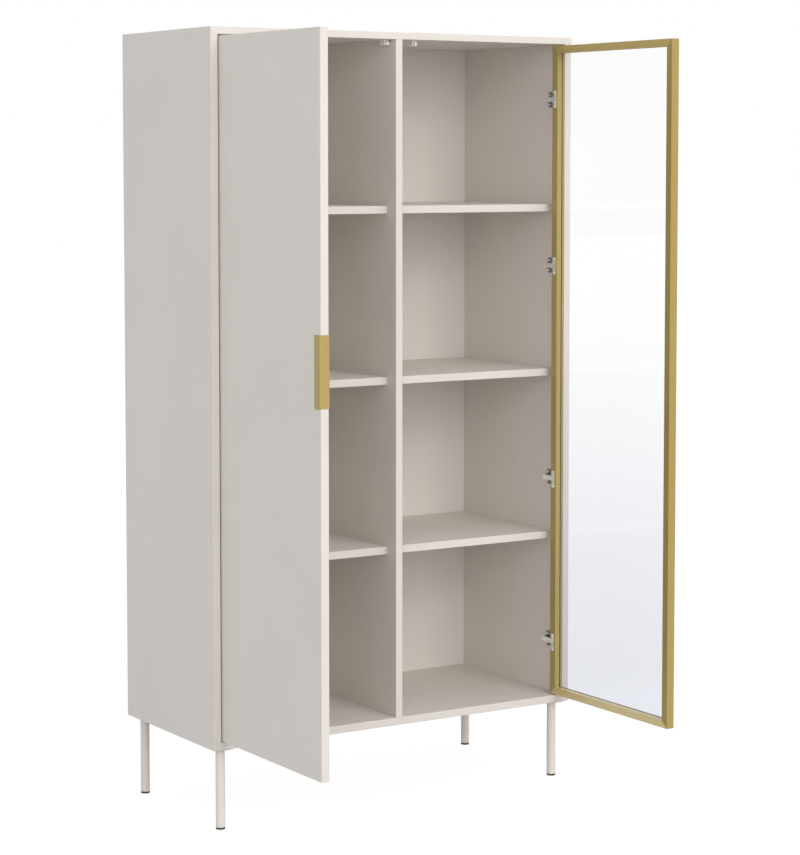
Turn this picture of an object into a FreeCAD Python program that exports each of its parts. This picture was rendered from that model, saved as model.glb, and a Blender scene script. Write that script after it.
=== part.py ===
import FreeCAD, Part
import os
import re
import Sketcher

doc = FreeCAD.newDocument("cabinet")
sheet = doc.addObject("Spreadsheet::Sheet", "Sizes")
sizes = {
    # Carcass
    "width": 871,
    "depth": 389,
    "height": 1600,
    "leg_height": 166,
    "board": 16,
    "top_board": 14.5,
    "edge_round": 1,
    "back_sheet": 3,
    "back_recess": 1,
    "back_lap": 8,
    "back_play": 0.2,
    # Shelves
    "shelf_board": 16,
    "shelf_setback": 35,
    "shelf_back_play": 2,
    # Legs
    "leg_radius": 9.5,
    "leg_wall": 1.5,
    "leg_inset_x": 27,
    "leg_inset_y": 26,
    "foot_plate": 38,
    "foot_plate_thick": 3,
    "cap_height": 4,
    "cap_rib": 2.4,
    "cap_spigot": 12,
    "cap_play": 0.1,
    # Doors
    "door_gap": 2,
    "hinge_gap": 3,
    "free_gap": 2.5,
    "door_board": 16.5,
    "door_round": 2.3,
    "pivot_in": 8.1,
    "pivot_back": 8.5,
    "hinge_from_end": 113,
    "hinge_second": 469,
    # Hinges
    "hinge_pin_radius": 1.75,
    "pin_running": 0.05,
    "pin_seat": 0.01,
    "arm_half": 3.3,
    "arm_tall": 10.5,
    "arm_end": 58,
    "arm_cut": 2.2,
    "block_start": 36,
    "block_tall": 12,
    "block_short": 2.5,
    "wing_back": 52,
    "wing_deep": 12,
    "wing_tall": 33,
    "wing_thick": 2,
    "wing_cut": 3,
    "flange_tall": 38,
    "flange_thick": 1.6,
    "flange_near": 3.4,
    "flange_far": 5.8,
    "flange_cut": 2,
    "lug_tall": 3.4,
    "lug_play": 0.3,
    "pocket_play": 0.3,
    "notch_play": 0.5,
    "pocket_skin": 4.1,
    # Handle
    "handle_tall": 136.5,
    "handle_flange": 20,
    "handle_thick": 2.4,
    "handle_drop": 1,
    "handle_play": 0.1,
    "handle_round": 0.8,
    # Framed glass door
    "frame_deep": 19,
    "stile_face": 18.5,
    "free_face": 16.5,
    "rail_face": 15.5,
    "frame_wall": 1.6,
    "groove_wall": 1.2,
    "groove_deep": 5.5,
    "glass": 4,
    "glass_front": 4,
    "seal": 0.8,
    "cleat_play": 0.15,
    "cleat_arm": 45,
    # Push latches
    "latch_half": 5,
    "latch_tall": 11.7,
    "latch_long": 18,
    "latch_drop": 7.4,
    "latch_left": 7.4,
    "latch_right": 44.8,
    "latch_tab": 11,
    "latch_tab_thick": 2,
    "latch_round": 3,
    "plunger_radius": 2.8,
    "plunger_play": 0.06,
    "plunger_inside": 12,
    "plunger_travel": 3.6,
    "plunger_out": 4.2,
    "tip_radius": 3.6,
    "tip_thick": 2.2,
    "tip_gap": 0.5,
    "strike_wide": 7.5,
    "strike_tall": 11,
    "strike_thick": 1,
    "strike_edge": 0.5,
}
for row, (alias, millimetres) in enumerate(sizes.items(), 1):
    sheet.set("A%d" % row, alias)
    sheet.set("B%d" % row, str(millimetres))
    sheet.setAlias("B%d" % row, alias)
doc.recompute()
words = re.compile(r"[a-z_]+")


def linked(text):
    # Expression text with every sheet word pointing at its cell.
    return words.sub(lambda found: "Sizes." + found.group(0), text)


def bind(item, prop, text):
    item.setExpression(prop, linked(text))


def place(item, x, y, z, turn=None):
    if turn:
        item.Placement = FreeCAD.Placement(FreeCAD.Vector(), turn)
    bind(item, "Placement.Base.x", x)
    bind(item, "Placement.Base.y", y)
    bind(item, "Placement.Base.z", z)
    return item


def add(kind, name):
    item = doc.addObject(kind, name)
    item.Label = name
    return item


def box(name, x, y, z, long, deep, tall):
    item = add("Part::Box", name)
    bind(item, "Length", long)
    bind(item, "Width", deep)
    bind(item, "Height", tall)
    return place(item, x, y, z)


along_y = FreeCAD.Rotation(FreeCAD.Vector(1, 0, 0), -90)


def rod(name, x, y, z, radius, tall, turn=None):
    item = add("Part::Cylinder", name)
    bind(item, "Radius", radius)
    bind(item, "Height", tall)
    return place(item, x, y, z, turn)


def fuse(name, items):
    item = add("Part::MultiFuse", name)
    item.Shapes = items
    item.Refine = True
    return item


def group(name, items):
    item = add("Part::Compound", name)
    item.Links = items
    return item


def cut(name, base, tools):
    item = add("Part::Cut", name)
    item.Base = base
    item.Tool = tools[0] if len(tools) == 1 else group(name + "_tools", tools)
    return item


def value(alias):
    return float(sheet.get(alias))


def rounded(name, base, alias, wanted, kind="Part::Fillet"):
    # Round or cut every straight edge whose middle and direction pass the test.
    doc.recompute()
    radius = value(alias)
    picks = []
    for index, edge in enumerate(base.Shape.Edges, 1):
        if edge.Curve.TypeId != "Part::GeomLine":
            continue
        middle = edge.CenterOfMass
        direction = edge.tangentAt(edge.FirstParameter)
        if wanted(middle, direction):
            picks.append((index, radius, radius))
    item = add(kind, name)
    item.Base = base
    item.Edges = picks
    return item


def near(first, second):
    return abs(first - second) < 1e-4


# Positions shared by several pieces
half = "width / 2"
floor_top = "(leg_height + board)"
ceiling = "(height - top_board)"
clear_tall = "(height - leg_height - board - top_board)"
bay = "((width - 3 * board) / 2)"
shelf_space = "((height - leg_height - 2 * board - 3 * shelf_board) / 4)"
back_front = "(depth - back_recess - back_sheet)"
door_tall = "(height - leg_height - 2 * board - 2 * door_gap)"
door_wide = "((width - 3 * board) / 2 - hinge_gap - free_gap)"
door_low = "(leg_height + board + door_gap)"
pivot_side = "(width / 2 - board - hinge_gap - pivot_in)"
arm_rise = "(hinge_gap + pivot_in - arm_half)"


def shelf_under(level):
    # Height of a shelf's underside; level counts from the lowest shelf.
    return "(%s + %d * %s + %d * shelf_board)" % (floor_top, level + 1, shelf_space, level)


hinge_heights = [
    "hinge_from_end",
    "hinge_second",
    "(%s - hinge_second)" % door_tall,
    "(%s - hinge_from_end)" % door_tall,
]


# Side panels, lapped at the rear for the back sheet
def side_panel(name, sign):
    left = "-%s" % half if sign < 0 else "(%s - board)" % half
    raw = box(name + "_raw", left, "0", floor_top, "board", "depth", clear_tall)
    front = rounded(name + "_front", raw, "edge_round", lambda m, d: near(m.y, 0) and near(abs(d.z), 1))
    lap_x = "(-%s + board - back_lap)" % half if sign < 0 else "(%s - board)" % half
    lap = box(
        name + "_lap", lap_x, back_front, floor_top,
        "back_lap", "back_sheet + back_recess", clear_tall)
    return cut(name, front, [lap])


left_side = side_panel("left_side_panel", -1)
right_side = side_panel("right_side_panel", 1)


# Top panel over the sides, bottom panel under them
def lap_tool(name, z):
    long = "(width - 2 * board + 2 * back_lap)"
    return box(
        name, "-%s + board - back_lap" % half, back_front, z,
        long, "back_sheet + back_recess", "back_lap")


def end_panel(name, z, thick, lap_z):
    raw = box(name + "_raw", "-%s" % half, "0", z, "width", "depth", thick)
    front = rounded(name + "_front", raw, "edge_round", lambda m, d: near(m.y, 0) and near(abs(d.x), 1))
    return cut(name, front, [lap_tool(name + "_lap", lap_z)])


top_panel = end_panel("top_panel", ceiling, "top_board", ceiling)
bottom_panel = end_panel("bottom_panel", "leg_height", "board", "(%s - back_lap)" % floor_top)

# Centre divider, flush with the front
divider_raw = box("divider_raw", "-board / 2", "0", floor_top, "board", back_front, clear_tall)
divider = rounded(
    "centre_divider", divider_raw, "edge_round", lambda m, d: near(m.y, 0) and near(abs(d.z), 1))

# Back sheet, set in the laps
back_panel = box(
    "back_panel",
    "-%s + board - back_lap + back_play" % half,
    back_front,
    "%s - back_lap + back_play" % floor_top,
    "width - 2 * board + 2 * back_lap - 2 * back_play",
    "back_sheet",
    "%s + 2 * back_lap - 2 * back_play" % clear_tall,
)

# Fixed shelves between the boards, set back from the front
bay_starts = {"left": "(-width / 2 + board)", "right": "(board / 2)"}
shelf_deep = "(%s - shelf_setback - shelf_back_play)" % back_front
shelves = []
for side, start in bay_starts.items():
    for level, word in enumerate(["lower", "middle", "upper"]):
        name = "%s_shelf_%s" % (side, word)
        raw = box(name + "_raw", start, "shelf_setback", shelf_under(level), bay, shelf_deep, "shelf_board")
        shelves.append(rounded(
            name, raw, "edge_round",
            lambda m, d: near(m.y, value("shelf_setback")) and near(abs(d.x), 1)))


foot_spots = {
    "front_left": ("(-width / 2 + leg_inset_x)", "leg_inset_y"),
    "front_right": ("(width / 2 - leg_inset_x)", "leg_inset_y"),
    "back_left": ("(-width / 2 + leg_inset_x)", "(depth - leg_inset_y)"),
    "back_right": ("(width / 2 - leg_inset_x)", "(depth - leg_inset_y)"),
}


# Legs: steel tube under a square plate, with a plastic glide in the open end
def leg(spot):
    x, y = foot_spots[spot]
    name = "leg_" + spot
    tube_tall = "(leg_height - foot_plate_thick - cap_height)"
    tube = rod(name + "_tube", "0", "0", "cap_height", "leg_radius", tube_tall)
    plate = box(
        name + "_plate", "-foot_plate / 2", "-foot_plate / 2", "leg_height - foot_plate_thick",
        "foot_plate", "foot_plate", "foot_plate_thick")
    bore = rod(name + "_bore", "0", "0", "cap_height", "leg_radius - leg_wall", tube_tall)
    return place(cut(name, fuse(name + "_whole", [tube, plate]), [bore]), x, y, "0")


def plane_of(body, role):
    return [item for item in body.Origin.OriginFeatures if item.Role == role][0]


def new_sketch(body, name, role, shift=None):
    item = body.newObject("Sketcher::SketchObject", name)
    item.AttachmentSupport = [(plane_of(body, role), "")]
    item.MapMode = "FlatFace"
    if shift:
        bind(item, "AttachmentOffset.Base.z", shift)
    return item


def number_of(text):
    # Number that an expression stands for at the present sizes.
    return float(sheet.evalExpression(text))


def held(sketch, kind, piece, point, text):
    # Dimension from the sketch origin to a point, bound to the sheet.
    if text == "0":
        axis = -2 if kind == "DistanceX" else -1
        sketch.addConstraint(Sketcher.Constraint("PointOnObject", piece, point, axis))
        return
    rule = sketch.addConstraint(Sketcher.Constraint(kind, -1, 1, piece, point, number_of(text)))
    bind(sketch, "Constraints[%d]" % rule, text)


def outline(sketch, points):
    # Closed outline; each corner is held by its own two dimensions from the origin.
    first = sketch.GeometryCount
    count = len(points)
    spots = [FreeCAD.Vector(number_of(x), number_of(y), 0) for x, y in points]
    for index in range(count):
        sketch.addGeometry(Part.LineSegment(spots[index], spots[(index + 1) % count]))
    for index in range(count):
        following = first + (index + 1) % count
        sketch.addConstraint(Sketcher.Constraint("Coincident", first + index, 2, following, 1))
    for index, (x, y) in enumerate(points):
        held(sketch, "DistanceX", first + index, 1, x)
        held(sketch, "DistanceY", first + index, 1, y)


def rectangle(x, y, wide, tall):
    right = "%s + %s" % (x, wide)
    upper = "%s + %s" % (y, tall)
    return [(x, y), (right, y), (right, upper), (x, upper)]


def pad(body, sketch, name, long):
    item = body.newObject("PartDesign::Pad", name)
    item.Profile = sketch
    bind(item, "Length", long)
    return item


def soften(body, base, name, alias, wanted):
    # Fillet on the straight edges of a feature that pass the test.
    doc.recompute()
    names = []
    for index, edge in enumerate(base.Shape.Edges, 1):
        if edge.Curve.TypeId != "Part::GeomLine":
            continue
        if wanted(edge.CenterOfMass, edge.tangentAt(edge.FirstParameter)):
            names.append("Edge%d" % index)
    item = body.newObject("PartDesign::Fillet", name)
    item.Base = (base, names)
    bind(item, "Radius", alias)
    return item


def revolve(body, sketch, name):
    item = body.newObject("PartDesign::Revolution", name)
    item.Profile = sketch
    item.ReferenceAxis = (sketch, ["V_Axis"])
    item.Angle = 360
    return item


def glide(spot):
    # Turned disc under the tube, with crossed ribs that hold inside it.
    x, y = foot_spots[spot]
    disc = add("PartDesign::Body", "glide_disc_" + spot)
    sketch = new_sketch(disc, "glide_outline_" + spot, "XZ_Plane")
    outline(sketch, [
        ("0", "0"),
        ("leg_radius", "0"),
        ("leg_radius", "cap_height"),
        ("0", "cap_height"),
    ])
    revolve(disc, sketch, "glide_turned_" + spot)
    reach = "(leg_radius - leg_wall - 2 * cap_play)"
    across = box(
        "glide_across_" + spot, "-" + reach, "-cap_rib / 2", "cap_height",
        "2 * " + reach, "cap_rib", "cap_spigot")
    along = box(
        "glide_along_" + spot, "-cap_rib / 2", "-" + reach, "cap_height",
        "cap_rib", "2 * " + reach, "cap_spigot")
    return place(fuse("leg_cap_" + spot, [disc, across, along]), x, y, "0")


legs = [leg(spot) for spot in foot_spots]
glides = [glide(spot) for spot in foot_spots]

# Hinge pieces are drawn for the left door and turned half round for the right one.
# Cabinet half: origin at the side's inner face, the carcass front and the door's lower end.
half_round = FreeCAD.Rotation(FreeCAD.Vector(0, 1, 0), 180)
open_left = FreeCAD.Rotation(FreeCAD.Vector(0, 0, 1), -90)
open_right = FreeCAD.Rotation(FreeCAD.Vector(0, 0, 1), 90).multiply(half_round)


def on_cabinet(item, side):
    if side == "left":
        return place(item, "-%s + board" % half, "0", door_low)
    return place(item, "%s - board" % half, "0", "%s + %s" % (door_low, door_tall), half_round)


# Door half: origin at the hinge edge, front face and lower end of the shut door, stored open.
def on_door(item, side, spot=("0", "0", "0"), turn=FreeCAD.Rotation()):
    across, back, up = spot
    y = "pivot_back + pivot_in - (%s)" % across
    if side == "left":
        x = "-%s - pivot_back + (%s)" % (pivot_side, back)
        return place(item, x, y, "%s + (%s)" % (door_low, up), open_left.multiply(turn))
    x = "%s + pivot_back - (%s)" % (pivot_side, back)
    return place(item, x, y, "%s + %s - (%s)" % (door_low, door_tall, up), open_right.multiply(turn))


def hinge_plates(side):
    # Block that carries the arm, with a cross wing for its screws.
    solids = []
    for number, z in enumerate(hinge_heights):
        tag = "%s_%d" % (side, number)
        block = box(
            "block_" + tag, "0", "block_start", "%s - block_tall / 2" % z,
            arm_rise, "arm_end - block_short - block_start", "block_tall")
        wing = box(
            "wing_" + tag, "0", "wing_back - wing_deep / 2", "%s - wing_tall / 2" % z,
            "wing_thick", "wing_deep", "wing_tall")
        ends = rounded(
            "wing_ends_" + tag, wing, "wing_cut", lambda m, d: near(abs(d.x), 1), "Part::Chamfer")
        solids.append(fuse("plate_" + tag, [block, ends]))
    return on_cabinet(group(side + "_hinge_plates", solids), side)


def hinge_arms(side):
    # Bar along the plate with a round eye on the pin.
    solids = []
    for number, z in enumerate(hinge_heights):
        tag = "%s_%d" % (side, number)
        low = "%s - arm_tall / 2" % z
        bar = box(
            "bar_" + tag, arm_rise, "pivot_back", low,
            "2 * arm_half", "arm_end - pivot_back", "arm_tall")
        tail = rounded(
            "tail_" + tag, bar, "arm_cut",
            lambda m, d: near(m.y, value("arm_end")) and near(abs(d.x), 1), "Part::Chamfer")
        eye = rod("eye_" + tag, "hinge_gap + pivot_in", "pivot_back", low, "arm_half", "arm_tall")
        bore = rod(
            "arm_bore_" + tag, "hinge_gap + pivot_in", "pivot_back", low,
            "hinge_pin_radius + pin_running", "arm_tall")
        solids.append(cut("arm_" + tag, fuse("arm_whole_" + tag, [tail, eye]), [bore]))
    return on_cabinet(group(side + "_hinge_arms", solids), side)


def hinge_bosses(side, rear):
    # Flange on the door's rear face with two lugs that hold the pin.
    solids = []
    lug_front = "(pivot_back - arm_half)"
    for number, z in enumerate(hinge_heights):
        tag = "%s_%d" % (side, number)
        flange = box(
            "flange_" + tag, "pivot_in - flange_near", rear, "%s - flange_tall / 2" % z,
            "flange_near + flange_far", "flange_thick", "flange_tall")
        pieces = [rounded(
            "flange_ends_" + tag, flange, "flange_cut", lambda m, d: near(abs(d.y), 1), "Part::Chamfer")]
        for way in (-1, 1):
            middle = "(%s + %d * (arm_tall / 2 + lug_play + lug_tall / 2))" % (z, way)
            pieces.append(box(
                "lug_%s_%d" % (tag, way + 1), "pivot_in - arm_half", lug_front, "%s - lug_tall / 2" % middle,
                "2 * arm_half", "%s - %s" % (rear, lug_front), "lug_tall"))
        window_tall = "(arm_tall + 2 * lug_play)"
        window = box(
            "window_" + tag, "pivot_in - flange_near", rear, "%s - %s / 2" % (z, window_tall),
            "flange_near + arm_half + notch_play", "flange_thick", window_tall)
        bore = rod(
            "boss_bore_" + tag, "pivot_in", "pivot_back", "%s - flange_tall / 2" % z,
            "hinge_pin_radius + pin_seat", "flange_tall")
        solids.append(cut("boss_" + tag, fuse("boss_whole_" + tag, pieces), [window, bore]))
    return on_door(group(side + "_hinge_bosses", solids), side)


def hinge_pins(side):
    solids = []
    long = "(arm_tall + 2 * lug_play + 2 * lug_tall)"
    for number, z in enumerate(hinge_heights):
        name = "hinge_pin_%s_%d" % (side, number)
        low = "%s - %s / 2" % (z, long)
        solids.append(rod(name, "pivot_in", "pivot_back", low, "hinge_pin_radius", long))
    return on_door(group(side + "_hinge_pins", solids), side)


def hinge_pockets(side, rear):
    # Cut-outs in a door's hinge edge: a pocket for the lugs and a notch for the arm.
    tools = []
    deep = "(%s - pocket_skin)" % rear
    for number, z in enumerate(hinge_heights):
        tag = "%s_%d" % (side, number)
        pocket_tall = "(arm_tall + 2 * lug_play + 2 * lug_tall + 2 * pocket_play)"
        pocket = box(
            "pocket_" + tag, "pivot_in - arm_half - pocket_play", "pocket_skin",
            "%s - %s / 2" % (z, pocket_tall), "2 * arm_half + 2 * pocket_play", deep, pocket_tall)
        notch_tall = "(arm_tall + 2 * notch_play)"
        notch = box(
            "notch_" + tag, "0", "pocket_skin", "%s - %s / 2" % (z, notch_tall),
            "pivot_in + arm_half + notch_play", deep, notch_tall)
        tools.append(fuse("recess_" + tag, [pocket, notch]))
    return tools


hinge_nodes = []
for side, rear in (("left", "door_board"), ("right", "frame_deep")):
    hinge_nodes.append(hinge_plates(side))
    hinge_nodes.append(hinge_arms(side))
    hinge_nodes.append(hinge_bosses(side, rear))
    hinge_nodes.append(hinge_pins(side))

# Solid door with rounded front edges and a let-in for the edge pull
handle_low = "(%s / 2 - handle_drop)" % door_tall


def solid_door():
    raw = box("door_raw", "0", "0", "0", door_wide, "door_board", door_tall)
    edges = rounded("door_edges", raw, "door_round", lambda m, d: near(m.y, 0) and near(abs(d.z), 1))
    let_in = box(
        "door_let_in", "%s - handle_thick - handle_play" % door_wide, "0", "%s - handle_play" % handle_low,
        "handle_thick + handle_play", "door_board", "handle_tall + 2 * handle_play")
    return on_door(cut("left_door_panel", edges, hinge_pockets("left", "door_board") + [let_in]), "left")


door_panel = solid_door()


# Edge pull: a channel bent round the door's free edge
def edge_pull():
    body = add("PartDesign::Body", "door_handle")
    sketch = new_sketch(body, "pull_outline", "XY_Plane", handle_low)
    inner = "%s - handle_thick" % door_wide
    lip = "%s - handle_flange" % door_wide
    outline(sketch, [
        (lip, "-handle_thick"),
        (door_wide, "-handle_thick"),
        (door_wide, "door_board + handle_thick"),
        (lip, "door_board + handle_thick"),
        (lip, "door_board"),
        (inner, "door_board"),
        (inner, "0"),
        (lip, "0"),
    ])
    bar = pad(body, sketch, "pull_bar", "handle_tall")
    edge_x = number_of(door_wide)
    soften(body, bar, "pull_soft", "handle_round", lambda m, d: near(m.x, edge_x) and near(abs(d.z), 1))
    return on_door(body, "left")


handle = edge_pull()

# Strike for the latch, stuck on the rear of the solid door at its upper free corner
strike_x = "(%s - door_round - strike_wide)" % door_wide
strike_z = "(%s - strike_edge - strike_tall)" % door_tall
strike = box("left_latch_strike", "0", "0", "0", "strike_wide", "strike_thick", "strike_tall")
on_door(strike, "left", (strike_x, "door_board", strike_z))

# Frame of the glass door: hollow section with a glazing groove, mitred at the corners
groove_low = "(glass_front - seal)"
groove_high = "(glass_front + glass + seal)"


def section(face):
    # Section outline and its two chambers, x across the face from the outer edge, y from the front.
    bed = "(%s - groove_deep)" % face
    lip = "(%s - seal)" % face
    shell = [
        ("0", "0"),
        (lip, "0"),
        (lip, groove_low),
        (bed, groove_low),
        (bed, groove_high),
        (face, groove_high),
        (face, "frame_deep"),
        ("0", "frame_deep"),
    ]
    main = rectangle(
        "frame_wall", "frame_wall", "(%s - groove_wall - frame_wall)" % bed, "(frame_deep - 2 * frame_wall)")
    rear = rectangle(
        bed, "(%s + groove_wall)" % groove_high, "(groove_deep - groove_wall)",
        "(frame_deep - frame_wall - groove_wall - %s)" % groove_high)
    return [shell, main, rear]


def profile_bar(name, face, long):
    # Straight length of the section along +Z, its outer edge on the axis.
    body = add("PartDesign::Body", name)
    sketch = new_sketch(body, name + "_section", "XY_Plane")
    for loop in section(face):
        outline(sketch, loop)
    bar = pad(body, sketch, name + "_bar", long)
    soften(body, bar, name + "_soft", "door_round", lambda m, d: near(m.x, 0) and near(m.y, 0))
    return body


def mitre_wedge(name, across, level, tip):
    # Wedge that cuts a bar's end from its outer corner to its inner corner.
    body = add("PartDesign::Body", name)
    sketch = new_sketch(body, name + "_outline", "XZ_Plane")
    outline(sketch, [("0", level), (across, level), (across, tip)])
    block = pad(body, sketch, name + "_block", "frame_deep")
    block.Reversed = True
    return body


def frame_bar(name, face, long, start, finish, extra):
    raw = profile_bar(name + "_raw", face, long)
    tools = [
        mitre_wedge(name + "_start", face, "0", start),
        mitre_wedge(name + "_finish", face, long, "%s - %s" % (long, finish)),
    ]
    return cut(name, raw, tools + extra)


# The right door's own axes are upside down, so heights on it start at the top rail
lay_top = FreeCAD.Rotation(FreeCAD.Vector(0, 1, 0), -90)
lay_bottom = FreeCAD.Rotation(FreeCAD.Vector(0, 1, 0), 90)
hinge_stile = frame_bar(
    "frame_hinge_stile", "stile_face", door_tall, "rail_face", "rail_face",
    hinge_pockets("right", "frame_deep"))
on_door(hinge_stile, "right")
free_stile = frame_bar("frame_free_stile", "free_face", door_tall, "rail_face", "rail_face", [])
on_door(free_stile, "right", (door_wide, "0", door_tall), half_round)
top_rail = frame_bar("frame_top_rail", "rail_face", door_wide, "free_face", "stile_face", [])
on_door(top_rail, "right", (door_wide, "0", "0"), lay_top)
bottom_rail = frame_bar("frame_bottom_rail", "rail_face", door_wide, "stile_face", "free_face", [])
on_door(bottom_rail, "right", ("0", "0", door_tall), lay_bottom)

# Glass and the seal round its edges, which also covers the front lip
bed_x = "(stile_face - groove_deep)"
bed_z = "(rail_face - groove_deep)"
bed_wide = "(%s - stile_face - free_face + 2 * groove_deep)" % door_wide
bed_tall = "(%s - 2 * rail_face + 2 * groove_deep)" % door_tall


def pane(name):
    return box(
        name, bed_x + " + seal", "glass_front", bed_z + " + seal",
        bed_wide + " - 2 * seal", "glass", bed_tall + " - 2 * seal")


seal_bed = box("seal_bed", bed_x, groove_low, bed_z, bed_wide, "glass + 2 * seal", bed_tall)
sight_wide = "(%s - stile_face - free_face)" % door_wide
sight_tall = "(%s - 2 * rail_face)" % door_tall
seal_lip = box(
    "seal_lip", "stile_face - seal", "0", "rail_face - seal",
    sight_wide + " + 2 * seal", groove_low, sight_tall + " + 2 * seal")
sight = box("sight", "stile_face", "0", "rail_face", sight_wide, groove_high, sight_tall)
seal_whole = fuse("seal_whole", [seal_bed, seal_lip])
seal_ring = cut("glass_seal", seal_whole, [fuse("seal_inside", [sight, pane("seal_slot")])])
on_door(seal_ring, "right")
glass_raw = pane("glass_raw")
glass_pane = on_door(group("glass_pane", [glass_raw]), "right")


# Corner cleats: angles that join the mitres inside the chambers
def cleat(name, face, far_side, far_end):
    inside = "(frame_wall + cleat_play)"
    slack = "(groove_deep + groove_wall + frame_wall + 2 * cleat_play)"
    deep = "(frame_deep - 2 * %s)" % inside

    def limb(tag, wide, tall):
        x = inside if not far_side else "%s - %s - %s" % (door_wide, inside, wide)
        z = inside if not far_end else "%s - %s - %s" % (door_tall, inside, tall)
        return box(name + tag, x, inside, z, wide, deep, tall)

    upright = limb("_upright", "(%s - %s)" % (face, slack), "cleat_arm")
    level = limb("_level", "cleat_arm", "(rail_face - %s)" % slack)
    return fuse(name, [upright, level])


cleats = on_door(group("frame_corner_cleats", [
    cleat("cleat_hinge_low", "stile_face", False, False),
    cleat("cleat_hinge_high", "stile_face", False, True),
    cleat("cleat_free_low", "free_face", True, False),
    cleat("cleat_free_high", "free_face", True, True),
]), "right")


# Push latches under the top panel
latch_spots = {
    "left": "(-board / 2 - latch_left)",
    "right": "(board / 2 + latch_right)",
}
tip_fronts = {
    "left": "(door_board + strike_thick + tip_gap)",
    "right": "(frame_deep + tip_gap)",
}


def latch_start(side):
    return "(%s + plunger_out + tip_thick)" % tip_fronts[side]


def latch_body(side):
    x = latch_spots[side]
    start = latch_start(side)
    name = "%s_latch_body" % side
    raw = box(
        name + "_raw", "%s - latch_half" % x, start, "%s - latch_tall" % ceiling,
        "2 * latch_half", "latch_long", "latch_tall")
    low = number_of("%s - latch_tall" % ceiling)
    shell = rounded(name + "_shell", raw, "latch_round", lambda m, d: near(m.z, low) and near(abs(d.y), 1))
    tab = box(
        name + "_tab", "%s - latch_half" % x, "%s + latch_long" % start, "%s - latch_tab_thick" % ceiling,
        "2 * latch_half", "latch_tab", "latch_tab_thick")
    bore = rod(
        name + "_bore", x, start, "%s - latch_drop" % ceiling, "plunger_radius + plunger_play",
        "plunger_inside + plunger_travel + tip_gap", along_y)
    return cut(name, fuse(name + "_whole", [shell, tab]), [bore])


def latch_plunger(side):
    x = latch_spots[side]
    z = "%s - latch_drop" % ceiling
    name = "%s_latch_plunger" % side
    tip = rod(name + "_tip", x, tip_fronts[side], z, "tip_radius", "tip_thick", along_y)
    stem_start = "(%s + tip_thick)" % tip_fronts[side]
    stem = rod(name + "_stem", x, stem_start, z, "plunger_radius", "plunger_out + plunger_inside", along_y)
    return fuse(name, [tip, stem])


latch_nodes = []
for side in latch_spots:
    latch_nodes.append(latch_body(side))
    latch_nodes.append(latch_plunger(side))

# Check and write every piece
nodes = [left_side, right_side, top_panel, bottom_panel, divider, back_panel] + shelves
nodes += legs + glides + hinge_nodes
nodes += [door_panel, handle, strike]
nodes += [hinge_stile, free_stile, bottom_rail, top_rail, cleats, glass_pane, seal_ring] + latch_nodes
doc.recompute()
for item in doc.Objects:
    if "Invalid" in item.State or "Error" in item.State:
        raise RuntimeError("not built: " + item.Label)
os.makedirs("parts", exist_ok=True)
for item in nodes:
    if item.Shape.isNull() or not item.Shape.isValid():
        raise RuntimeError("bad shape: " + item.Label)
    item.Shape.exportStep("parts/%s.step" % item.Label)
print(len(nodes), "pieces written")
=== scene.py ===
import math

import bmesh
import bpy
from mathutils import Matrix, Vector


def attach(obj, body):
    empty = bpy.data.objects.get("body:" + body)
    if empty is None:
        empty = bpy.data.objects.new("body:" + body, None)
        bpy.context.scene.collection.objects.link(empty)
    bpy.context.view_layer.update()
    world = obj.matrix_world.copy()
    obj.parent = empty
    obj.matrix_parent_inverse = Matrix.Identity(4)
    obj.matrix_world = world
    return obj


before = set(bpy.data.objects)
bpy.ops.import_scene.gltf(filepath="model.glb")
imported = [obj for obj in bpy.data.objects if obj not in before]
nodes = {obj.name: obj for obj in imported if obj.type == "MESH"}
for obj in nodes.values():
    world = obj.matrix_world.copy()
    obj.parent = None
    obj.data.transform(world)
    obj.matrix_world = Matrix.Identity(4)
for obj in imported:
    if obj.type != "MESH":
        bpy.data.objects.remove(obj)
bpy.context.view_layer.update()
scene = bpy.context.scene
scene.view_settings.view_transform = "Standard"
print("frame loaded, nodes:", len(nodes))

# camera: looks down a little, with part of the lens shift that would keep the uprights parallel
cameraSet = {
    "place": (-2.71270, -4.28729, 1.34047),
    "turn": 32.3394,            # degrees from +Y towards +X
    "tip": 4.1765,              # degrees below level
    "focal": 2469.365,          # pixels
    "middle": (400, 340),       # pixel that lies straight ahead
    "wide": 800, "tall": 855,   # the photograph in pixels
    "sensor": 36.0,             # millimetres across
    "farClip": 200,
}


def makeCamera(cs):
    data = bpy.data.cameras.new("photoCamera")
    data.sensor_width = cs["sensor"]
    data.lens = cs["focal"] / cs["tall"] * data.sensor_width
    data.shift_x = (cs["wide"] / 2 - cs["middle"][0]) / cs["tall"]
    data.shift_y = (cs["middle"][1] - cs["tall"] / 2) / cs["tall"]
    data.clip_end = cs["farClip"]
    eye = bpy.data.objects.new("photoCamera", data)
    eye.location = cs["place"]
    eye.rotation_euler = (math.radians(90 - cs["tip"]), 0, -math.radians(cs["turn"]))
    scene.collection.objects.link(eye)
    scene.camera = eye


makeCamera(cameraSet)


def newGroup(name, inputs, outputs):
    tree = bpy.data.node_groups.new(name, "ShaderNodeTree")
    for label, kind, start in inputs:
        socket = tree.interface.new_socket(label, in_out="INPUT", socket_type=kind)
        socket.default_value = start
    for label, kind in outputs:
        tree.interface.new_socket(label, in_out="OUTPUT", socket_type=kind)
    return tree, tree.nodes.new("NodeGroupInput"), tree.nodes.new("NodeGroupOutput")


def addNode(tree, kind, **settings):
    node = tree.nodes.new(kind)
    for key, value in settings.items():
        setattr(node, key, value)
    return node


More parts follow.
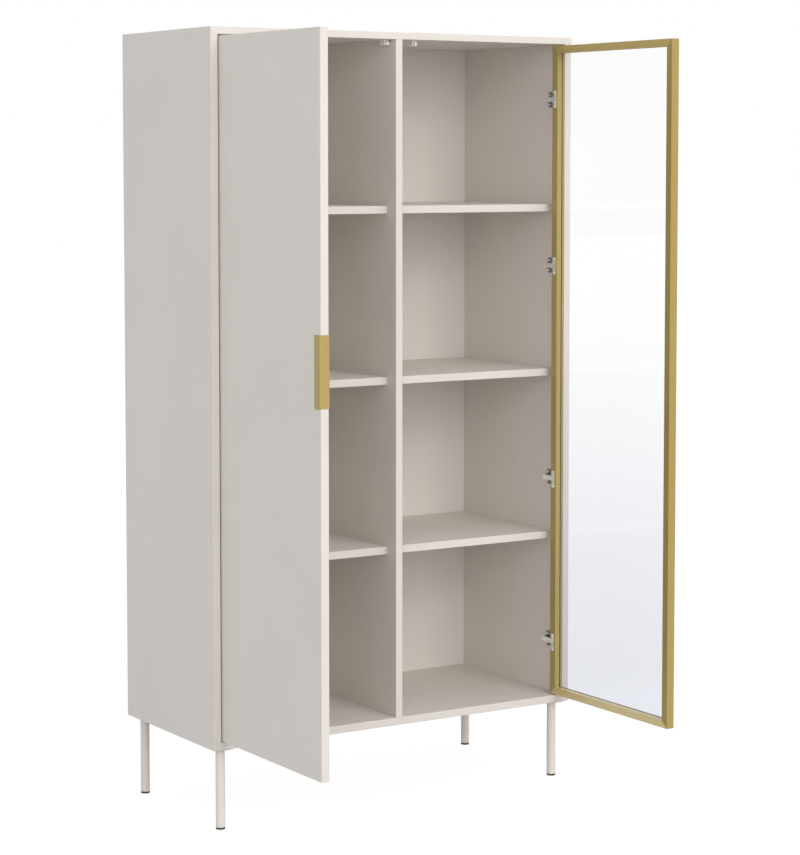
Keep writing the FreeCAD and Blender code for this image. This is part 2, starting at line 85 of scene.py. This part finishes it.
def grainGroup():
    # stretched noise in the object's own metres
    tree, start, end = newGroup(
        "surfaceGrain",
        [("Stretch", "NodeSocketVector", (1, 1, 1)), ("Scale", "NodeSocketFloat", 100.0),
         ("Detail", "NodeSocketFloat", 3.0)],
        [("Value", "NodeSocketFloat")])
    place = addNode(tree, "ShaderNodeTexCoord")
    stretch = addNode(tree, "ShaderNodeVectorMath", operation="MULTIPLY")
    noise = addNode(tree, "ShaderNodeTexNoise")
    tree.links.new(place.outputs["Object"], stretch.inputs[0])
    tree.links.new(start.outputs["Stretch"], stretch.inputs[1])
    tree.links.new(stretch.outputs[0], noise.inputs["Vector"])
    tree.links.new(start.outputs["Scale"], noise.inputs["Scale"])
    tree.links.new(start.outputs["Detail"], noise.inputs["Detail"])
    tree.links.new(noise.outputs["Fac"], end.inputs["Value"])
    return tree


edgeSet = {
    "samples": 6,
    "flat": 0.995, "sharp": 0.8,    # cosines of the softened normal: none of the edge, all of it
}


def edgeGroup(es):
    # mask and softened normal along sharp edges
    tree, start, end = newGroup(
        "softEdge",
        [("Radius", "NodeSocketFloat", 0.001)],
        [("Mask", "NodeSocketFloat"), ("Normal", "NodeSocketVector")])
    soft = addNode(tree, "ShaderNodeBevel", samples=es["samples"])
    flat = addNode(tree, "ShaderNodeNewGeometry")
    dot = addNode(tree, "ShaderNodeVectorMath", operation="DOT_PRODUCT")
    away = addNode(tree, "ShaderNodeMapRange")
    away.inputs["From Min"].default_value = es["flat"]
    away.inputs["From Max"].default_value = es["sharp"]
    tree.links.new(start.outputs["Radius"], soft.inputs["Radius"])
    tree.links.new(soft.outputs["Normal"], dot.inputs[0])
    tree.links.new(flat.outputs["Normal"], dot.inputs[1])
    tree.links.new(dot.outputs["Value"], away.inputs["Value"])
    tree.links.new(away.outputs["Result"], end.inputs["Mask"])
    tree.links.new(soft.outputs["Normal"], end.inputs["Normal"])
    return tree


def toneGroup():
    # two tones mixed by a mask, then lifted along the edges: painted edge highlight, together with edge
    # wear
    tree, start, end = newGroup(
        "twoTone",
        [("Tone", "NodeSocketColor", (0.5, 0.5, 0.5, 1)),
         ("Other", "NodeSocketColor", (0.6, 0.6, 0.6, 1)),
         ("Worn", "NodeSocketColor", (0.7, 0.7, 0.7, 1)), ("Mask", "NodeSocketFloat", 0.5),
         ("Low", "NodeSocketFloat", 0.35), ("High", "NodeSocketFloat", 0.65),
         ("Edge", "NodeSocketFloat", 0.0), ("Wear", "NodeSocketFloat", 0.3)],
        [("Color", "NodeSocketColor")])
    spread = addNode(tree, "ShaderNodeMapRange")
    first = addNode(tree, "ShaderNodeMix", data_type="RGBA")
    amount = addNode(tree, "ShaderNodeMath", operation="MULTIPLY")
    second = addNode(tree, "ShaderNodeMix", data_type="RGBA")
    tree.links.new(start.outputs["Mask"], spread.inputs["Value"])
    tree.links.new(start.outputs["Low"], spread.inputs["From Min"])
    tree.links.new(start.outputs["High"], spread.inputs["From Max"])
    tree.links.new(spread.outputs["Result"], first.inputs["Factor"])
    tree.links.new(start.outputs["Tone"], first.inputs["A"])
    tree.links.new(start.outputs["Other"], first.inputs["B"])
    tree.links.new(start.outputs["Edge"], amount.inputs[0])
    tree.links.new(start.outputs["Wear"], amount.inputs[1])
    tree.links.new(amount.outputs[0], second.inputs["Factor"])
    tree.links.new(first.outputs["Result"], second.inputs["A"])
    tree.links.new(start.outputs["Worn"], second.inputs["B"])
    tree.links.new(second.outputs["Result"], end.inputs["Color"])
    return tree


grain = grainGroup()
softEdge = edgeGroup(edgeSet)
twoTone = toneGroup()


def useGroup(tree, group, **values):
    node = addNode(tree, "ShaderNodeGroup", node_tree=group)
    for key, value in values.items():
        node.inputs[key].default_value = value
    return node


noiseRange = (0.3, 0.7)     # where nearly all of the noise lies


def spreadValue(tree, source, low, high):
    # noise spread over the wanted range
    spread = addNode(tree, "ShaderNodeMapRange")
    spread.inputs["From Min"].default_value = noiseRange[0]
    spread.inputs["From Max"].default_value = noiseRange[1]
    spread.inputs["To Min"].default_value = low
    spread.inputs["To Max"].default_value = high
    tree.links.new(source, spread.inputs["Value"])
    return spread.outputs["Result"]


def startMaterial(name):
    material = bpy.data.materials.new(name)
    material.use_nodes = True
    tree = material.node_tree
    tree.nodes.clear()
    shader = addNode(tree, "ShaderNodeBsdfPrincipled")
    output = addNode(tree, "ShaderNodeOutputMaterial")
    tree.links.new(shader.outputs["BSDF"], output.inputs["Surface"])
    return material, tree, shader, output


def finishSurface(s):
    # one opaque finish: tones, roughness and bump from grain, lighter edges (painted edge highlight and
    # wear)
    material, tree, shader, output = startMaterial(s["name"])
    edge = useGroup(tree, softEdge, Radius=s["edgeRadius"])
    cloud = useGroup(tree, grain, Scale=s["cloudScale"], Stretch=s.get("cloudStretch", (1, 1, 1)))
    fine = useGroup(tree, grain, Scale=s["fineScale"], Stretch=s.get("fineStretch", (1, 1, 1)))
    tone = useGroup(tree, twoTone, Tone=(*s["tone"], 1), Other=(*s["other"], 1),
                    Worn=(*s["edgeWearAndHighlight"], 1), Wear=s["edgeWearAndHighlightAmount"])
    tree.links.new(cloud.outputs["Value"], tone.inputs["Mask"])
    tree.links.new(edge.outputs["Mask"], tone.inputs["Edge"])
    tree.links.new(tone.outputs["Color"], shader.inputs["Base Color"])
    rough = spreadValue(tree, fine.outputs["Value"], *s["rough"])
    tree.links.new(rough, shader.inputs["Roughness"])
    bump = addNode(tree, "ShaderNodeBump")
    bump.inputs["Strength"].default_value = s["bump"]
    bump.inputs["Distance"].default_value = s["bumpDeep"]
    tree.links.new(fine.outputs["Value"], bump.inputs["Height"])
    tree.links.new(edge.outputs["Normal"], bump.inputs["Normal"])
    tree.links.new(bump.outputs["Normal"], shader.inputs["Normal"])
    shader.inputs["Metallic"].default_value = s.get("metal", 0.0)
    shader.inputs["Specular IOR Level"].default_value = s.get("specular", 0.5)
    return material


boardFinish = {
    "name": "greigeBoard",
    "tone": (0.715, 0.674, 0.634), "other": (0.732, 0.690, 0.650),
    "edgeWearAndHighlight": (0.80, 0.76, 0.71), "edgeWearAndHighlightAmount": 0.3,
    "edgeRadius": 0.0008, "cloudScale": 5.0, "fineScale": 900.0,
    "rough": (0.46, 0.58), "bump": 0.08, "bumpDeep": 0.0004, "specular": 0.35,
}
backFinish = dict(boardFinish, name="backSheet", tone=(0.77, 0.735, 0.70), other=(0.785, 0.75, 0.715),
                  cloudScale=3.0, fineScale=600.0, rough=(0.5, 0.62))
legFinish = dict(boardFinish, name="legPaint", tone=(0.76, 0.705, 0.655), other=(0.775, 0.72, 0.67),
                 cloudScale=30.0, fineScale=1500.0, bump=0.15, rough=(0.38, 0.5))
goldPull = {
    "name": "satinGoldPull",
    "tone": (0.385, 0.29, 0.088), "other": (0.42, 0.318, 0.1),
    "edgeWearAndHighlight": (0.62, 0.50, 0.22), "edgeWearAndHighlightAmount": 0.3,
    "edgeRadius": 0.0006, "cloudScale": 14.0, "cloudStretch": (1, 1, 0.2),
    "fineScale": 700.0, "fineStretch": (1, 1, 0.02),
    "rough": (0.36, 0.48), "bump": 0.06, "bumpDeep": 0.0003, "metal": 0.22,
}
# the frame's stiles and rails share one gold, each set to its own tone for how brightly it is lit:
# painted light and shade
goldHingePaintedLight = dict(goldPull, name="satinGoldHingePaintedLight", tone=(0.42, 0.32, 0.105), other=(0.45, 0.342, 0.115))
goldFreePaintedLight = dict(goldPull, name="satinGoldFreePaintedLight", tone=(0.385, 0.285, 0.085), other=(0.41, 0.303, 0.092))
goldTopPaintedLight = dict(goldPull, name="satinGoldTopPaintedLight", tone=(0.47, 0.352, 0.122), other=(0.50, 0.378, 0.135),
               cloudStretch=(1, 0.2, 1), fineStretch=(1, 0.02, 1))
# the bottom rail is much paler: a painted reflection of the white studio and of the light from above on
# the rail
goldBottomPaintedReflection = dict(goldTopPaintedLight, name="satinGoldBottomPaintedReflection", tone=(0.63, 0.515, 0.225), other=(0.67, 0.55, 0.245),
                  rough=(0.12, 0.22), specular=1.0)
nickelFinish = {
    "name": "nickelSteel",
    "tone": (0.80, 0.83, 0.865), "other": (0.88, 0.905, 0.935),
    "edgeWearAndHighlight": (0.96, 0.97, 0.98), "edgeWearAndHighlightAmount": 0.6,
    "edgeRadius": 0.0005, "cloudScale": 60.0, "fineScale": 1200.0, "fineStretch": (1, 0.1, 1),
    "rough": (0.1, 0.2), "bump": 0.05, "bumpDeep": 0.0002, "metal": 1.0,
}
# the hinge plates are nickel painted dark: a painted shadow and dark reflection where the plates sit
# against the side panels
plateShadeFinish = dict(nickelFinish, name="nickelPaintedShade", tone=(0.22, 0.205, 0.19), other=(0.27, 0.255, 0.24),
                   edgeWearAndHighlight=(0.5, 0.48, 0.46), rough=(0.25, 0.38))
screwFinish = dict(nickelFinish, name="zincScrew", tone=(0.74, 0.73, 0.70), other=(0.80, 0.79, 0.77),
                   rough=(0.16, 0.28))
glideFinish = {
    "name": "blackGlide",
    "tone": (0.018, 0.018, 0.018), "other": (0.03, 0.03, 0.03),
    "edgeWearAndHighlight": (0.08, 0.08, 0.08), "edgeWearAndHighlightAmount": 0.5,
    "edgeRadius": 0.0005, "cloudScale": 90.0, "fineScale": 2200.0,
    "rough": (0.42, 0.58), "bump": 0.2, "bumpDeep": 0.0002,
}
latchFinish = dict(glideFinish, name="paleLatch", tone=(0.92, 0.90, 0.87), other=(0.94, 0.92, 0.89),
                   edgeWearAndHighlight=(0.96, 0.95, 0.93), rough=(0.32, 0.45), bump=0.1)
plungerFinish = dict(latchFinish, name="palePlunger", tone=(0.86, 0.84, 0.81), other=(0.9, 0.88, 0.85))
# the seal's dark olive gold also stands for the shade on the frame lip's inner wall beside the glass:
# seal colour and painted shade
sealAndShadeFinish = dict(glideFinish, name="sealWithPaintedShade", tone=(0.36, 0.285, 0.12), other=(0.39, 0.31, 0.13),
                  edgeWearAndHighlight=(0.46, 0.38, 0.2), rough=(0.2, 0.32), specular=0.8)
cleatFinish = dict(nickelFinish, name="cleatMetal", tone=(0.66, 0.66, 0.67), other=(0.74, 0.74, 0.75))
glassFinish = {
    "name": "clearGlass",
    "tint": (1.0, 1.0, 1.0), "low": (0.77, 0.785, 0.84),
    "fadeFrom": 0.2, "fadeTo": 1.18,   # heights in metres over which the pane fades from bluish grey at the bottom to clear
    "smearScale": 40.0, "smearRough": 0.015,
    "ior": 1.2,
}


def makeGlass(s):
    material, tree, shader, output = startMaterial(s["name"])
    place = addNode(tree, "ShaderNodeTexCoord")
    axes = addNode(tree, "ShaderNodeSeparateXYZ")
    tree.links.new(place.outputs["Object"], axes.inputs["Vector"])
    # the pane is bluish grey low down and clears upwards
    rise = addNode(tree, "ShaderNodeMapRange", interpolation_type="SMOOTHSTEP")
    rise.inputs["From Min"].default_value = s["fadeFrom"]
    rise.inputs["From Max"].default_value = s["fadeTo"]
    tree.links.new(axes.outputs["Z"], rise.inputs["Value"])
    tint = addNode(tree, "ShaderNodeMix", data_type="RGBA")
    tint.inputs["A"].default_value = (*s["low"], 1)
    tint.inputs["B"].default_value = (*s["tint"], 1)
    tree.links.new(rise.outputs["Result"], tint.inputs["Factor"])
    tree.links.new(tint.outputs["Result"], shader.inputs["Base Color"])
    smear = useGroup(tree, grain, Scale=s["smearScale"])
    rough = spreadValue(tree, smear.outputs["Value"], 0.0, s["smearRough"])
    tree.links.new(rough, shader.inputs["Roughness"])
    shader.inputs["Transmission Weight"].default_value = 1.0
    shader.inputs["IOR"].default_value = s["ior"]
    # light passes straight through to what stands behind the pane
    path = addNode(tree, "ShaderNodeLightPath")
    through = addNode(tree, "ShaderNodeBsdfTransparent")
    either = addNode(tree, "ShaderNodeMath", operation="MAXIMUM")
    tree.links.new(path.outputs["Is Shadow Ray"], either.inputs[0])
    tree.links.new(path.outputs["Is Diffuse Ray"], either.inputs[1])
    blend = addNode(tree, "ShaderNodeMixShader")
    tree.links.new(either.outputs[0], blend.inputs["Fac"])
    tree.links.new(shader.outputs["BSDF"], blend.inputs[1])
    tree.links.new(through.outputs["BSDF"], blend.inputs[2])
    tree.links.new(blend.outputs["Shader"], output.inputs["Surface"])
    return material


finishOf = {}


def dress(names, material):
    for name in names:
        mesh = nodes[name].data
        mesh.materials.clear()
        mesh.materials.append(material)
        finishOf[name] = material.name


shelfNames = [side + "_shelf_" + level
              for side in ("left", "right") for level in ("lower", "middle", "upper")]
legSpots = ("front_left", "front_right", "back_left", "back_right")
dress(["left_side_panel", "right_side_panel", "top_panel", "bottom_panel", "centre_divider",
       "left_door_panel"] + shelfNames, finishSurface(boardFinish))
dress(["back_panel"], finishSurface(backFinish))
dress(["leg_" + spot for spot in legSpots], finishSurface(legFinish))
dress(["leg_cap_" + spot for spot in legSpots], finishSurface(glideFinish))
dress(["door_handle"], finishSurface(goldPull))
dress(["frame_hinge_stile"], finishSurface(goldHingePaintedLight))
dress(["frame_free_stile"], finishSurface(goldFreePaintedLight))
dress(["frame_top_rail"], finishSurface(goldTopPaintedLight))
dress(["frame_bottom_rail"], finishSurface(goldBottomPaintedReflection))
nickel = finishSurface(nickelFinish)
dress([side + piece for side in ("left", "right") for piece in ("_hinge_arms", "_hinge_bosses")]
      + ["left_latch_strike"], nickel)
dress(["left_hinge_plates", "right_hinge_plates"], finishSurface(plateShadeFinish))
zinc = finishSurface(screwFinish)
dress(["left_hinge_pins", "right_hinge_pins"], zinc)
dress(["left_latch_body", "right_latch_body"], finishSurface(latchFinish))
dress(["left_latch_plunger", "right_latch_plunger"], finishSurface(plungerFinish))
dress(["glass_seal"], finishSurface(sealAndShadeFinish))
dress(["frame_corner_cleats"], finishSurface(cleatFinish))
dress(["glass_pane"], makeGlass(glassFinish))
print("finishes on nodes:", len(finishOf), "of", len(nodes))

# screw heads and nail heads, one mesh for each row of them
panHead = {
    "radius": 0.0029, "high": 0.0015,
    "flat": 0.58, "rim": 0.3,           # shares of the radius and of the height
    "mouth": 0.86, "pit": 0.6,          # length of the cross at its top and bottom, in flats
    "mouthHalf": 0.16, "pitHalf": 0.6,  # half its width, in radii, and what is left of it below
    "deep": 0.0009,
}
smallHead = dict(panHead, radius=0.0024, high=0.0013, deep=0.0008)
nailHead = {"radius": 0.0018, "high": 0.0005, "flat": 0.6, "rim": 0.3}
ringSteps = 28      # points round a head
domeSteps = 5       # rings from its rim to the flat
headTwist = 37      # degrees from one head of a row to the next


def headRings(h):
    # profile of the head from its seat to the flat on top, as (radius, height)
    rings = [(h["radius"], 0.0), (h["radius"], h["high"] * h["rim"])]
    for step in range(1, domeSteps + 1):
        turn = math.radians(90 * step / domeSteps)
        across = h["radius"] * (h["flat"] + (1 - h["flat"]) * math.cos(turn))
        rings.append((across, h["high"] * (h["rim"] + (1 - h["rim"]) * math.sin(turn))))
    return rings


def crossOutline(long, half):
    # plus sign seen from above, anticlockwise
    corner = [(long, -half), (long, half), (half, half)]
    points = []
    for quarter in range(4):
        turn = Matrix.Rotation(math.radians(90 * quarter), 2)
        points += [turn @ Vector(p) for p in corner]
    return points


def addHead(mesh, h, spot):
    # one head in a bmesh, set on the surface by its spot matrix
    loops = []
    for radius, high in headRings(h):
        loop = []
        for step in range(ringSteps):
            turn = 2 * math.pi * step / ringSteps
            point = Vector((radius * math.cos(turn), radius * math.sin(turn), high))
            loop.append(mesh.verts.new(spot @ point))
        loops.append(loop)
    mesh.faces.new(list(reversed(loops[0])))
    for low, up in zip(loops, loops[1:]):
        for step in range(ringSteps):
            following = (step + 1) % ringSteps
            face = mesh.faces.new((low[step], low[following], up[following], up[step]))
            face.smooth = True
    rim = loops[-1]
    if "mouth" not in h:
        mesh.faces.new(rim)
        return
    reach = h["radius"] * h["flat"]
    mouthHalf = h["radius"] * h["mouthHalf"]
    mouth = []
    pit = []
    for outline, long, half, drop in (
            (mouth, reach * h["mouth"], mouthHalf, 0.0),
            (pit, reach * h["pit"], mouthHalf * h["pitHalf"], h["deep"])):
        for point in crossOutline(long, half):
            outline.append(mesh.verts.new(spot @ Vector((point.x, point.y, h["high"] - drop))))
    edges = []
    for outline in (rim, mouth):
        for start, following in zip(outline, outline[1:] + outline[:1]):
            edge = mesh.edges.get((start, following))
            edges.append(edge if edge else mesh.edges.new((start, following)))
    bmesh.ops.triangle_fill(mesh, use_beauty=True, edges=edges)
    count = len(mouth)
    for step in range(count):
        following = (step + 1) % count
        mesh.faces.new((mouth[step], mouth[following], pit[following], pit[step]))
    mesh.faces.new(pit)


def facing(way):
    # turns a head so that it stands out along the given way
    return Vector(way).to_track_quat("Z", "X").to_matrix().to_4x4()


def makeHeads(name, h, spots, way, body):
    # zinc heads at the given spots, in metres of the shared frame
    mesh = bmesh.new()
    for index, spot in enumerate(spots):
        twist = Matrix.Rotation(math.radians(headTwist * index), 4, "Z")
        addHead(mesh, h, Matrix.Translation(spot) @ facing(way) @ twist)
    bmesh.ops.recalc_face_normals(mesh, faces=mesh.faces)
    data = bpy.data.meshes.new(name)
    mesh.to_mesh(data)
    mesh.free()
    data.materials.append(zinc)
    piece = bpy.data.objects.new(name, data)
    scene.collection.objects.link(piece)
    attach(piece, body)
    return piece


hingeSet = {
    "heights": (0.297, 0.653, 1.113, 1.469),
    "wingFace": 0.4175, "wingBack": 0.0533, "wingApart": 0.0102,
    "armFace": 0.4051, "armBack": 0.0325,
    "flangeFace": {"left": 0.3988, "right": 0.3963}, "flangeBack": 0.0073, "flangeApart": 0.0154,
}
added = []
hs = hingeSet
heights = hs["heights"]
for side, sign in (("left", -1), ("right", 1)):
    wings = [(sign * hs["wingFace"], hs["wingBack"], z + way * hs["wingApart"])
             for z in heights for way in (-1, 1)]
    arms = [(sign * hs["armFace"], hs["armBack"], z) for z in heights]
    flanges = [(sign * hs["flangeFace"][side], hs["flangeBack"], z + way * hs["flangeApart"])
               for z in heights for way in (-1, 1)]
    inward = (-sign, 0, 0)
    added.append(makeHeads(side + "WingScrews", panHead, wings, inward, "cabinet"))
    added.append(makeHeads(side + "ArmScrews", smallHead, arms, inward, "cabinet"))
    added.append(makeHeads(side + "FlangeScrews", panHead, flanges, inward, side + "_door"))

legSet = {"across": 0.4085, "along": (0.026, 0.363), "plateUnder": 0.163, "apart": 0.014}
legScrews = [(x * legSet["across"] + i * legSet["apart"], y + j * legSet["apart"], legSet["plateUnder"])
             for x in (-1, 1) for y in legSet["along"] for i in (-1, 1) for j in (-1, 1)]
added.append(makeHeads("legScrews", panHead, legScrews, (0, 0, -1), "cabinet"))

latchSet = {"tabUnder": 1.5835, "across": (-0.0154, 0.0528), "along": (0.0481, 0.0496)}
latchScrews = [(x, y, latchSet["tabUnder"]) for x, y in zip(latchSet["across"], latchSet["along"])]
added.append(makeHeads("latchScrews", smallHead, latchScrews, (0, 0, -1), "cabinet"))

pullSet = {"face": -0.398, "along": -0.378, "heights": (0.904, 0.950, 0.9965)}
pullScrews = [(pullSet["face"], pullSet["along"], z) for z in pullSet["heights"]]
added.append(makeHeads("pullScrews", smallHead, pullScrews, (1, 0, 0), "left_door"))

backSet = {"face": 0.388, "side": 0.4235, "low": 0.178, "high": 1.5895, "rows": 10, "columns": 6}
backNails = []
for row in range(1, backSet["rows"]):
    z = backSet["low"] + (backSet["high"] - backSet["low"]) * row / backSet["rows"]
    backNails += [(x, backSet["face"], z) for x in (-backSet["side"], 0.0, backSet["side"])]
for column in range(backSet["columns"] + 1):
    x = backSet["side"] * (2 * column / backSet["columns"] - 1)
    backNails += [(x, backSet["face"], z) for z in (backSet["low"], backSet["high"])]
added.append(makeHeads("backNails", nailHead, backNails, (0, 1, 0), "cabinet"))
print("rows of heads:", len(added))

# white studio: a low dome and three softboxes, two in front and one on the left
studio = {
    "dome": 0.785,
    "aim": (0.0, 0.1, 0.85),
    "lamps": {
        "highSoftbox": {"place": (0.9, -8.2, 6.6), "size": 5.0,
                        "power": 206.0, "tint": (1.0, 0.98, 0.94)},
        "frontSoftbox": {"place": (0.3, -9.0, 3.3), "size": 4.5,
                         "power": 206.0, "tint": (1.0, 0.98, 0.935)},
        "leftSoftbox": {"place": (-7.0, -6.8, 2.6), "size": 4.5,
                        "power": 153.0, "tint": (1.0, 1.0, 1.0)},
    },
    "floorTone": 0.48, "floorRough": 0.8, "floorShine": 0.1,    # what lights the object from below
    "seenTone": 0.15, "seenGlow": 0.91,     # what the eye sees: white, with a faint shadow
    "floorSize": 60.0, "floorDrop": 0.0005,
}


def seenDirectly(tree):
    # 1 for what the camera sees straight, in metal or through glass
    path = addNode(tree, "ShaderNodeLightPath")
    plain = addNode(tree, "ShaderNodeMath", operation="MAXIMUM")
    every = addNode(tree, "ShaderNodeMath", operation="MAXIMUM")
    tree.links.new(path.outputs["Is Camera Ray"], plain.inputs[0])
    tree.links.new(path.outputs["Is Glossy Ray"], plain.inputs[1])
    tree.links.new(plain.outputs[0], every.inputs[0])
    tree.links.new(path.outputs["Is Transmission Ray"], every.inputs[1])
    return every.outputs[0]


def makeWorld(s):
    world = bpy.data.worlds.new("studioWorld")
    scene.world = world
    world.use_nodes = True
    tree = world.node_tree
    tree.nodes.clear()
    output = addNode(tree, "ShaderNodeOutputWorld")
    dome = addNode(tree, "ShaderNodeBackground")
    dome.inputs["Color"].default_value = (1, 1, 1, 1)
    dome.inputs["Strength"].default_value = s["dome"]
    white = addNode(tree, "ShaderNodeBackground")
    white.inputs["Color"].default_value = (1, 1, 1, 1)
    blend = addNode(tree, "ShaderNodeMixShader")
    tree.links.new(seenDirectly(tree), blend.inputs["Fac"])
    tree.links.new(dome.outputs[0], blend.inputs[1])
    tree.links.new(white.outputs[0], blend.inputs[2])
    tree.links.new(blend.outputs[0], output.inputs["Surface"])


def makeLamp(name, lampSet, aim):
    data = bpy.data.lights.new(name, "AREA")
    data.size = lampSet["size"]
    data.energy = lampSet["power"]
    data.color = lampSet["tint"]
    lamp = bpy.data.objects.new(name, data)
    lamp.location = lampSet["place"]
    way = Vector(aim) - Vector(lampSet["place"])
    lamp.rotation_euler = way.to_track_quat("-Z", "Y").to_euler()
    scene.collection.objects.link(lamp)


def makeFloor(s):
    far = s["floorSize"] / 2
    mesh = bpy.data.meshes.new("studioFloor")
    corners = [(-far, -far, 0), (far, -far, 0), (far, far, 0), (-far, far, 0)]
    mesh.from_pydata(corners, [], [(0, 1, 2, 3)])
    floor = bpy.data.objects.new("studioFloor", mesh)
    floor.location.z = -s["floorDrop"]
    scene.collection.objects.link(floor)
    material, tree, shader, output = startMaterial("studioFloor")
    shader.inputs["Base Color"].default_value = (s["floorTone"], s["floorTone"], s["floorTone"], 1)
    shader.inputs["Roughness"].default_value = s["floorRough"]
    shader.inputs["Specular IOR Level"].default_value = s["floorShine"]
    paper = addNode(tree, "ShaderNodeBsdfDiffuse")
    paper.inputs["Color"].default_value = (s["seenTone"], s["seenTone"], s["seenTone"], 1)
    glow = addNode(tree, "ShaderNodeEmission")
    glow.inputs["Strength"].default_value = s["seenGlow"]
    both = addNode(tree, "ShaderNodeAddShader")
    tree.links.new(paper.outputs[0], both.inputs[0])
    tree.links.new(glow.outputs[0], both.inputs[1])
    blend = addNode(tree, "ShaderNodeMixShader")
    tree.links.new(seenDirectly(tree), blend.inputs["Fac"])
    tree.links.new(shader.outputs["BSDF"], blend.inputs[1])
    tree.links.new(both.outputs[0], blend.inputs[2])
    tree.links.new(blend.outputs[0], output.inputs["Surface"])
    mesh.materials.append(material)


makeWorld(studio)
for lampName, lampSet in studio["lamps"].items():
    makeLamp(lampName, lampSet, studio["aim"])
makeFloor(studio)
print("studio ready, lamps:", len(studio["lamps"]))
